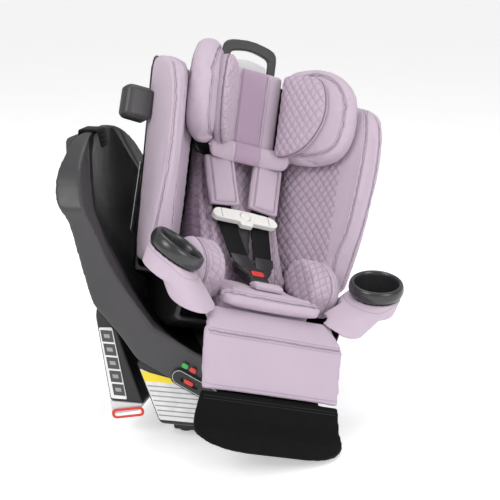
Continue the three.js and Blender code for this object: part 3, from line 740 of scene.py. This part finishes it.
for (side, sign), piece in zip(SIDES, bolsters):
    tree = surface_of(piece)
    line = ring * (sign, 1, 1)
    runs = [nearest(tree, line + np.array((sign * gap, 0, 0.002))) for gap in (-0.0042, 0.0042)]
    # dark cord in the seam: painted seam shade
    sew(f"thigh_bolster_{side}_stitches", runs, SEAT, seams=[nearest(tree, line)[0]])
    finish_piece(piece, SEAT, "seat", "lavender", [f"thigh_bolster_{side}"],
                 inlay=(f"quilt_bolster_{side}", bolster_slots))

# ---- Headrest: both lobes and pillows are made on the left and mirrored ----
LOBE_TO_TORSO = TORSO.inverted() @ LOBE
LOBE_OUTLINE = [(-0.060, 0.229), (-0.134, 0.239), (-0.162, 0.304), (-0.150, 0.388), (-0.090, 0.432),
                (-0.01, 0.428), (-0.01, 0.240)]
PILLOW_OUTLINE = [(-0.008, 0.238), (-0.070, 0.250), (-0.116, 0.320), (-0.098, 0.400), (-0.008, 0.408)]
LOBE_INSET = 0.019


def ringed(outline, x, inset):
    """A closed line at x round an outline of (y, z) points, drawn in by inset."""
    centre = np.mean(outline, axis=0)
    loop = rounded([(x, *(np.array(p) + (centre - p) / max(np.linalg.norm(centre - p), 1e-9) * inset))
                    for p in outline], closed=True)
    return dense(loop, 0.0025)


def lobe_line(tree, way, inset):
    """The lobe's outline dropped onto its inner face (way 1) or its outer face (way -1)."""
    return project(tree, ringed(LOBE_OUTLINE, -0.1 * way, inset), (way, 0, 0), 0.2)


lobe = soft_cover("headrest_lobe_left", LOBE, VOXEL, 12, 6, 0.009)
tree = surface_of(lobe)
lobe_seams = [lobe_line(tree, way, LOBE_INSET)[0] for way in (1, -1)]
carve(lobe, lobe_seams, lip=0.001)
pillow = soft_cover("headrest_pillow_left", LOBE, 0.004, 9, 6, 0.007)
pillow_x = coordinates(pillow)[:, 0]
hem_x = pillow_x.min() + 0.45 * (pillow_x.max() - pillow_x.min())
hem, hem_out = nearest(surface_of(pillow), ringed(PILLOW_OUTLINE, hem_x, -0.006))
carve(pillow, [hem], 0.0016, 0.0020, 0.0002)
inside = smoothstep(0.05, 0.4, -normals(pillow)[:, 0])
quilt(pillow, lambda p: (p[:, 1], p[:, 2]), inside, 0.0022)
pillow_slots = face_slots(pillow, inside)
tree = surface_of(lobe)
for side, sign in SIDES:
    runs = [lobe_line(tree, way, LOBE_INSET + gap) for gap in (-0.0038, 0.0038) for way in (1, -1)]
    # dark cords in the seams: painted seam shade
    shade_cords = [nearest(tree, line)[0] for line in lobe_seams]
    for name, slot, source, inlay in (
            ("lobe", "lavender_fabric", lobe, None),
            ("pillow", "quilted_fabric", pillow, (f"quilt_pillow_{side}", pillow_slots))):
        if name == "lobe":
            thread = stitches(f"headrest_lobe_{side}_stitches", runs, seams=shade_cords)
        else:
            thread = tube(f"headrest_pillow_{side}_piping", hem + hem_out * 0.0002, 0.0012, 6, True)
        cover = new_object(f"headrest_{name}_{side}_cushion", source.data.copy())
        for part in (thread, cover):
            part.data.transform(LOBE_TO_TORSO)
            if sign < 0:
                part.data.transform(MIRROR)
                part.data.flip_normals()
        finish_piece(thread, TORSO, "headrest", "thread")
        finish_piece(cover, TORSO, "headrest", "lavender", [f"headrest_{name}_{side}"],
                     inlay=inlay)
for piece in (lobe, pillow):
    bpy.data.objects.remove(piece)

# The panel is satin in the middle and knit at its sides, and so is the band under it
SATIN_HALF = 0.028
panel = soft_cover("headrest_panel", TORSO, 0.003, 6)
panel_lines = [dense([(s * 0.027, 0, 0.23), (s * 0.029, 0, 0.40)]) for s in (-1, 1)]
tree = surface_of(panel)
carve(panel, [project(tree, line, BACKWARD)[0] for line in panel_lines], 0.002, 0.003, 0.0008)
tree = surface_of(panel)
runs = [project(tree, line + np.array((s * 0.004, 0, 0)), BACKWARD) for s, line in zip((-1, 1), panel_lines)]
# dark cords in the seams: painted seam shade
shade_cords = [project(tree, line, BACKWARD)[0] for line in panel_lines]
sew("headrest_panel_stitches", runs, TORSO, "headrest", slot="satin_fabric", seams=shade_cords)
finish_piece(panel, TORSO, "headrest", "satin", ["headrest_panel"],
             inlay=("lavender", (face_side(panel) > SATIN_HALF).astype(int)))

# A padded band under the panel joins the two lobes
BAND_RADIUS, BAND_TALL, BAND_HALF, BAND_ROUND, BAND_Z = 0.0085, 2.35, 0.086, 0.014, 0.2365


def band_y(x):
    """The band's middle line, drawn forward towards its ends."""
    return 0.096 - np.maximum(0, np.abs(x) - 0.05) * 0.42


band_x = BAND_HALF * np.sin(np.linspace(-math.pi / 2, math.pi / 2, 90))
band = tube("headrest_band", [(x, band_y(x), BAND_Z) for x in band_x], BAND_RADIUS, 20)
squeeze = coordinates(band)
beyond = np.clip((np.abs(squeeze[:, 0]) - (BAND_HALF - BAND_ROUND)) / BAND_ROUND, 0, 0.995)
thin = np.sqrt(1 - beyond ** 2)
middle_y = band_y(squeeze[:, 0])
squeeze[:, 1] = middle_y + (squeeze[:, 1] - middle_y) * thin
squeeze[:, 2] = BAND_Z + (squeeze[:, 2] - BAND_Z) * BAND_TALL * thin
put(band, squeeze)
subdivide(band)
tree = surface_of(band)
band_lines = [project(tree, dense([(s * 0.029, 0, 0.221), (s * 0.029, 0, 0.249)]), BACKWARD)[0]
              for s in (-1, 1)]
carve(band, band_lines, 0.0018, 0.0018, 0.0006)
finish_piece(band, TORSO, "headrest", "lavender", (),
             inlay=("satin", (face_side(band) < SATIN_HALF).astype(int)))

# ---- Shoulder pads, each in a frame with z down along its strap ----
PAD_HALF, PAD_ENDS = 0.022, (0.008, 0.099)
for side, sign in SIDES:
    top = np.array((0.054 * sign, 0.116, 0.222))
    low = np.array((0.039 * sign, 0.084, 0.112))
    along = (low - top) / np.linalg.norm(low - top)
    across = np.cross(along, (0, -0.943, 0.333))
    across /= np.linalg.norm(across)
    axes = [tuple(axis) for axis in (across, np.cross(across, along), along)]
    local = TORSO @ Matrix.Translation(Vector(top)) @ Matrix(axes).transposed().to_4x4()
    piece = soft_cover(f"shoulder_pad_{side}", local, 0.0025, 8, 4, 0.0025)
    facing_way = (0, -1, 0) if coordinates(piece)[:, 1].mean() > 0 else (0, 1, 0)
    lines = [dense([(x, 0, z) for z in PAD_ENDS]) for x in (-PAD_HALF, PAD_HALF)]
    lines.append(dense([(x, 0, PAD_ENDS[1]) for x in (-PAD_HALF, PAD_HALF)]))
    tree = surface_of(piece)
    carve(piece, [project(tree, line, facing_way)[0] for line in lines], 0.0018, 0.0016, 0.0004)
    tree = surface_of(piece)
    runs = [project(tree, line + np.array((d, 0, 0)), facing_way)
            for line in lines[:2] for d in (-0.0016, 0.0016)]
    runs.append(project(tree, lines[2] + np.array((0, 0, 0.0016)), facing_way))
    # dark cords in the seams: painted seam shade
    shade_cords = [project(tree, line, facing_way)[0] for line in lines]
    sew(f"shoulder_pad_{side}_stitches", runs, local, "headrest", pitch=0.0036, length=0.0025, seams=shade_cords)
    finish_piece(piece, local, "headrest", "lavender", [f"shoulder_pad_{side}"])

crotch = soft_cover("crotch_pad", SEAT, 0.0022, 6, 4, 0.002)
finish_piece(crotch, SEAT, "seat", "lavender", ["crotch_pad"])

# ---- Cup covers ----
cover = soft_cover("cup_cover_left", SEAT, 0.0028, 7, suffix="skin")
for side, piece in (("left", cover), ("right", mirrored(cover, "cup_cover_right_skin"))):
    finish_piece(piece, SEAT, "seat", "lavender", [f"cup_cover_{side}"])


# ---- Leg rest ----
def level(z):
    """A line across the leg rest, in front of it, to be dropped onto it."""
    return dense([(-0.13, -0.3, z), (0.13, -0.3, z)])


leg = soft_cover("leg_panel", SEAT, VOXEL, 5, 3, 0.003)
top_seam = project(surface_of(leg), level(0.232), BACKWARD)[0]
carve(leg, [top_seam], 0.003, 0.003, 0.001)
tree = surface_of(leg)
sew("leg_panel_stitches", [project(tree, level(z), BACKWARD) for z in (0.228, 0.236, 0.1605)], SEAT,
    # dark cord in the top seam: painted seam shade
    seams=[nearest(tree, top_seam)[0]])
finish_piece(leg, SEAT, "seat", "leg_knit", ["leg_panel"])

lip = soft_cover("leg_extension", SEAT, 0.003, 10)
tree = surface_of(lip)
sew("leg_extension_stitches", [project(tree, level(z), BACKWARD) for z in (0.143, 0.139)], SEAT,
    "leg_extension", "dark_thread", "black_fabric")
finish_piece(lip, SEAT, "leg_extension", "black_cloth", ["leg_extension"])

# ---- Moulded pieces: the CAD shape with its edges rounded as a moulding's are ----
SLOT_OF = {name: f"{name}_plastic" for name in
           ("charcoal", "interior", "black", "rim", "pale", "ivory", "red", "green")}
SLOT_OF.update(webbing="webbing", tether="webbing", rubber="rubber", steel="steel", label="label")


def moulding(node, body, material, space, voxel, rounds, smooth=False):
    piece = from_node(f"{node}_moulding", node, space)
    remesh(piece, voxel, rounds)
    if smooth:
        subdivide(piece)
    return finish_piece(piece, space, body, material, [node])


def local_surface(piece, space):
    """The surface of a placed piece, in a local frame."""
    work = bmesh.new()
    work.from_mesh(piece.data)
    work.transform(space.inverted())
    tree = BVHTree.FromBMesh(work)
    work.free()
    return tree


def bevelled(node, body, material, space, width):
    """The CAD shape with small rounds on its sharp edges, for thin or precise pieces."""
    piece = from_node(f"{node}_part", node, space)
    flat = bmesh.new()
    flat.from_mesh(piece.data)
    bmesh.ops.dissolve_limit(flat, angle_limit=math.radians(1), verts=flat.verts, edges=flat.edges)
    flat.to_mesh(piece.data)
    flat.free()
    if width:
        edge_round = piece.modifiers.new("round", "BEVEL")
        edge_round.width, edge_round.segments = width, 2
        edge_round.limit_method = "ANGLE"
        edge_round.angle_limit = math.radians(28)
        apply_modifiers(piece)
    finish_piece(piece, space, body, material, [node], sharp=40)


scoop = moulding("scoop_shell", "base", "charcoal", BASE, 0.003, 8)
surface_of_scoop = local_surface(scoop, BASE)
moulding("base_foot", "base", "black", BASE, 0.003, 3)
moulding("rear_leg", "base", "black", BASE, 0.0025, 3)
moulding("rear_leg_cap", "base", "pale", BASE, 0.002, 3)
moulding("release_loop", "release_loop", "red", BASE, 0.0009, 3)
moulding("tether_adjuster", "base", "charcoal", BASE, 0.0015, 3)
shell = moulding("seat_shell", "seat", "black", SEAT, 0.003, 4)
surface_of_shell = local_surface(shell, TORSO)
moulding("headrest_handle", "headrest", "charcoal", TORSO, 0.0015, 5, True)
moulding("headrest_shell", "headrest", "black", TORSO, 0.0022, 3)
moulding("headrest_release", "headrest_release", "pale", TORSO, 0.0012, 3)
for side, _ in SIDES:
    moulding(f"impact_pod_{side}", f"impact_pod_{side}", "charcoal", TORSO, 0.0018, 6, True)
    bevelled(f"recline_rail_{side}", "turntable", "charcoal", SEAT, 0.0015)
moulding("buckle", "seat", "black", TORSO, 0.0011, 3, True)
moulding("buckle_button", "buckle_button", "red", TORSO, 0.0008, 3, True)
moulding("chest_clip", "chest_clip", "ivory", TORSO, 0.0009, 4)
bevelled("clip_button", "clip_button", "ivory", TORSO, 0.0005)
moulding("recline_lever", "recline_lever", "rim", SEAT, 0.0012, 3)
for node, body, material, space, width in (
        ("turntable", "turntable", "black", SEAT, 0.001), ("bowl_liner", "base", "interior", BASE, 0),
        ("tether_strap", "base", "tether", BASE, 0.0004), ("indicator_panel", "base", "black", BASE, 0.0003),
        ("lock_slider", "lock_slider", "red", BASE, 0.0005), ("light_locked", "base", "green", BASE, 0.0003),
        ("light_unlocked", "base", "red", BASE, 0.0003), ("bearing_ring", "base", "steel", BASE, 0.0004),
        ("recline_runner", "seat", "steel", SEAT, 0.0004), ("foot_label", "base", "label", BASE, 0.0002),
        ("leg_label", "base", "label", BASE, 0.0002), ("shell_label", "seat", "label", TORSO, 0.0002)):
    bevelled(node, body, material, space, width)
for side, _ in SIDES:
    bevelled(f"harness_strap_{side}", "seat", "webbing", TORSO, 0.0005)
    for end in ("front", "rear"):
        bevelled(f"rubber_foot_{end}_{side}", "base", "rubber", BASE, 0.0008)


# ---- Cup holders: a thick rolled rim over a tapering cup ----
def lathed(name, profile, steps=96):
    """A solid turned about z from a profile of (radius, z) that starts and ends on the axis."""
    points, faces = [], []
    for i in range(steps):
        angle = 2 * math.pi * i / steps
        points += [(r * math.cos(angle), r * math.sin(angle), z) for r, z in profile]
    count = len(profile)
    for i in range(steps):
        j = (i + 1) % steps
        for k in range(count - 1):
            faces.append((i * count + k, j * count + k, j * count + k + 1, i * count + k + 1))
    piece = from_arrays(name, points, faces)
    joined = bmesh.new()
    joined.from_mesh(piece.data)
    bmesh.ops.remove_doubles(joined, verts=joined.verts, dist=1e-6)
    bmesh.ops.recalc_face_normals(joined, faces=joined.faces)
    joined.to_mesh(piece.data)
    joined.free()
    return piece


CUP_PROFILE = [(0.028, -0.058), (0.031, -0.0578), (0.0335, -0.055), (0.0405, -0.028), (0.0432, -0.0256),
               (0.0470, -0.0235), (0.0497, -0.0185), (0.0508, -0.0130), (0.0503, -0.0070), (0.0487, -0.0022),
               (0.0462, 0.0004), (0.0440, 0.0006), (0.0420, -0.0006), (0.0405, -0.0034), (0.0396, -0.0078),
               (0.0390, -0.013), (0.0320, -0.049), (0.0305, -0.0535), (0.0275, -0.055)]


def cup_place(sign):
    return (SEAT @ Matrix.Translation((sign * 0.196, -0.080, 0.345))
            @ Matrix.Rotation(-sign * CUP_LEAN, 4, "Y"))


for side, sign in SIDES:
    wall = np.array(rounded([(r, z, 0) for r, z in CUP_PROFILE], 1))[:, :2]
    cup = lathed(f"cup_holder_{side}_cup", [(0, -0.058), *map(tuple, wall), (0, -0.055)])
    finish_piece(cup, cup_place(sign), f"cup_holder_{side}", "rim", [f"cup_holder_{side}"],
                 sharp=60)

for side, sign in SIDES:
    local = cup_place(sign)
    ring = [(0.056 * math.cos(a), 0.056 * math.sin(a), -0.036)
            for a in np.linspace(0, 2 * math.pi, 120, False)]
    hem = nearest(local_surface(bpy.data.objects[f"cup_cover_{side}_skin"], local), ring)
    sew(f"cup_cover_{side}_stitches", [hem], local)

# ---- Clip and buckle details ----
CLIP = TORSO @ Matrix.Translation((0, 0.068, 0.106)) @ Matrix.Rotation(math.radians(53), 4, "X")
circle = [(0.0125 * math.cos(a), 0.0125 * math.sin(a), 0.0056) for a in [math.pi * i / 32 for i in range(64)]]
finish_piece(tube("chest_clip_ring", circle, 0.0007, closed=True), CLIP, "chest_clip", "ivory")
for side, sign in SIDES[::-1]:
    bar = rounded([(sign * 0.050, -0.0125, 0.0055), (sign * 0.050, 0.0105, 0.0055)])
    finish_piece(tube(f"chest_clip_bar_{side}", dense(bar, 0.002), 0.0006), CLIP, "chest_clip", "grey_print")

# Two tongues join the lower ends of the straps and clip into the top of the buckle
TONGUE = [(0.045, 0.0135, 0.028), (0.007, 0.0135, 0.028), (0.002, -0.004, 0.006), (0.004, -0.012, -0.002),
          (0.026, -0.012, -0.002), (0.041, 0.001, 0.012)]
TONGUE_THICK = 0.003
for side, sign in SIDES:
    corners = [(sign * x, y + d, z) for d in (0, TONGUE_THICK) for x, y, z in TONGUE]
    faces = [(0, 1, 2, 3, 4, 5), (11, 10, 9, 8, 7, 6)]
    faces += [(i, i + 6, (i + 1) % 6 + 6, (i + 1) % 6) for i in range(6)]
    plate = from_arrays(f"buckle_tongue_{side}_plate", corners, faces)
    whole = bmesh.new()
    whole.from_mesh(plate.data)
    bmesh.ops.recalc_face_normals(whole, faces=whole.faces)
    whole.to_mesh(plate.data)
    whole.free()
    soften = plate.modifiers.new("round", "BEVEL")
    soften.width, soften.segments = 0.0011, 3
    apply_modifiers(plate)
    finish_piece(plate, TORSO, "seat", "black", sharp=40)


def draped(name, outline, tree, direction, lift, thickness, step=0.003):
    """A thin patch that lies on a surface: outline gives its left and right edge at each height."""
    heights, lefts, rights = zip(*outline[::-1])
    rows = np.arange(min(heights), max(heights) + step / 2, step)
    columns = 12
    lines = []
    for z in rows:
        left, right = np.interp(z, heights, lefts), np.interp(z, heights, rights)
        across = [(left + (right - left) * k / columns, 0, z) for k in range(columns + 1)]
        lines.append(project(tree, across, direction))
    points = [p + n * lift for found, outward in lines for p, n in zip(found, outward)]
    points += [p + n * (lift + thickness) for found, outward in lines for p, n in zip(found, outward)]
    half, wide = len(points) // 2, columns + 1
    faces = []
    for i in range(len(rows) - 1):
        for k in range(columns):
            a = i * wide + k
            faces += [(a, a + 1, a + wide + 1, a + wide),
                      (half + a, half + a + wide, half + a + wide + 1, half + a + 1)]
    border = [k for k in range(wide)] + [i * wide + columns for i in range(1, len(rows))]
    border += [(len(rows) - 1) * wide + k for k in range(columns - 1, -1, -1)]
    border += [i * wide for i in range(len(rows) - 2, 0, -1)]
    for a, b in zip(border, border[1:] + border[:1]):
        faces.append((a, b, half + b, half + a))
    return from_arrays(name, points, faces)


# Raised ribs on the back of the seat shell, and two arches of them on the back of the rear wall
RIB_RADIUS, RIB_SINK = 0.0032, 0.0012
WALL_RIB_RADIUS, WALL_RIB_SINK = 0.0026, 0.0010
ribs = [(f"shell_rib_{row}", [(x * 0.96, 0, 0.080), (x, 0, 0.330)])
        for row, x in enumerate((-0.090, -0.045, 0.0, 0.045, 0.090))]
for name, ends in ribs + [("shell_rib_cross", [(-0.110, 0, 0.205), (0.110, 0, 0.205)])]:
    rib, rib_out = project(surface_of_shell, dense(ends, 0.004), (0, -1, 0), 0.4)
    finish_piece(tube(name, rib - rib_out * RIB_SINK, RIB_RADIUS, 10), TORSO, "seat", "black")
WALL_FOOT = 0.270
wall_arch = rounded([(0, -0.140, WALL_FOOT), (0, -0.140, 0.380), (0, -0.105, 0.470), (0, 0, 0.495),
                     (0, 0.105, 0.470), (0, 0.140, 0.380), (0, 0.140, WALL_FOOT)])
for row, inset in enumerate((1.0, 0.82)):
    arch = [(x, y * inset, WALL_FOOT + (z - WALL_FOOT) * inset) for x, y, z in wall_arch]
    line, line_out = project(surface_of_scoop, dense(arch, 0.004), (1, 0, 0), 0.5)
    rib = tube(f"rear_wall_rib_{row}", line - line_out * WALL_RIB_SINK, WALL_RIB_RADIUS, 10)
    finish_piece(rib, BASE, "base", "charcoal")

# A ribbed grip panel on the back pad, between the straps
grip = draped("harness_grip_panel", [(0.100, -0.017, 0.017), (0.060, -0.013, 0.013), (0.032, -0.008, 0.008)],
              surface_of_pad, BACKWARD, 0.0006, 0.0012)
finish_piece(grip, TORSO, "seat", "grip", sharp=50)

# A printed outline round the lock slider
FLANK = BASE @ Matrix.Translation((0.038, -0.17512, 0.103)) @ Matrix.Rotation(math.radians(26.36), 4, "Y")
SLOT_HALF, SLOT_RADIUS = 0.043, 0.0125
stadium = [(sign * SLOT_HALF + SLOT_RADIUS * math.cos(a), 0, SLOT_RADIUS * math.sin(a))
           for sign, first in ((1, -90), (-1, 90)) for a in np.radians(np.arange(first, first + 181, 10))]
outline = dense(stadium + stadium[:1], 0.0015)[:-1]
finish_piece(tube("indicator_outline", outline, 0.0006, 6, True), FLANK, "base", "print_white")

# ---- Printed film: plain bars and a plain header, corners as (x, z) in mm ----
FILM_THICK = 0.0002
FOOT_FACE, LEG_FACE, LEG_OVER = -153.6, -151.6, -151.85


def film(name, y, material, *corners):
    points = [Vector((x / 1000, y / 1000, z / 1000)) for x, z in corners]
    normal = (points[1] - points[0]).cross(points[2] - points[0]).normalized() * FILM_THICK
    count = len(points)
    faces = [tuple(range(count))[::-1], tuple(range(count, 2 * count))]
    faces += [(i, (i + 1) % count, count + (i + 1) % count, count + i) for i in range(count)]
    piece = from_arrays(name, points + [p + normal for p in points], faces)
    finish_piece(piece, BASE, "base", material, sharp=30)


film("foot_label_header", FOOT_FACE, "yellow", (-78, 121), (-71, 101), (16, 101), (-10, 108))
for row in range(7):
    z = 94 - row * 9
    left, right = -66 + row * 3.3, 52 - (row % 3) * 7
    film(f"foot_label_line_{row}", FOOT_FACE, "grey_print", (left, z), (left, z - 2.2), (right, z - 2.2),
         (right, z))
for row in range(5):
    z = 190 - row * 25
    left = -152 + row * 4.6
    film(f"leg_label_block_{row}", LEG_FACE, "grey_block", (left, z), (left + 3.4, z - 21.5),
         (left + 25, z - 21.5), (left + 21.6, z))
    film(f"leg_label_bar_{row}", LEG_OVER, "grey_print", (left + 6, z - 7), (left + 7.2, z - 14),
         (left + 18, z - 14), (left + 16.8, z - 7))

# ---- Floor, light ----
FLOOR_REACH, FLOOR_GLOW, WORLD_LIGHT = 60, 0.42, 0.52
floor_mesh = bpy.data.meshes.new("floor")
corners = [(x * FLOOR_REACH, y * FLOOR_REACH, 0) for x, y in ((-1, -1), (1, -1), (1, 1), (-1, 1))]
floor_mesh.from_pydata(corners, [], [(0, 1, 2, 3)])
floor = new_object("floor", floor_mesh)
floor_paint = Nodes("floor_paint", 0.9)
floor_paint.color(floor_paint.ramp(floor_paint.noise(3, 2), (0.3, linear(244, 244, 245)),
                                   (0.7, linear(247, 247, 248))))
floor_paint.shader.inputs["Emission Color"].default_value = (1, 1, 1, 1)
floor_paint.shader.inputs["Emission Strength"].default_value = FLOOR_GLOW
floor_mesh.materials.append(floor_paint.material)

world = bpy.data.worlds.new("studio")
world.use_nodes = True
world.node_tree.nodes["Background"].inputs["Color"].default_value = (1.0, 1.0, 1.0, 1)
world.node_tree.nodes["Background"].inputs["Strength"].default_value = WORLD_LIGHT
scene.world = world


def softbox(name, place, target, size, power):
    light = bpy.data.lights.new(name, "AREA")
    light.shape = "RECTANGLE"
    light.size, light.size_y = size
    light.energy = power
    lamp = bpy.data.objects.new(name, light)
    lamp.location = place
    lamp.rotation_mode = "QUATERNION"
    lamp.rotation_quaternion = (Vector(target) - Vector(place)).to_track_quat("-Z", "Y")
    scene.collection.objects.link(lamp)


softbox("key", (-1.4, -2.6, 2.4), (0, 0, 0.35), (1.5, 1.5), 45)
softbox("fill", (2.6, -1.8, 1.6), (0, 0, 0.35), (1.6, 1.6), 36)
softbox("top", (0.2, 0.6, 3.0), (0, 0, 0.3), (1.8, 1.8), 26)
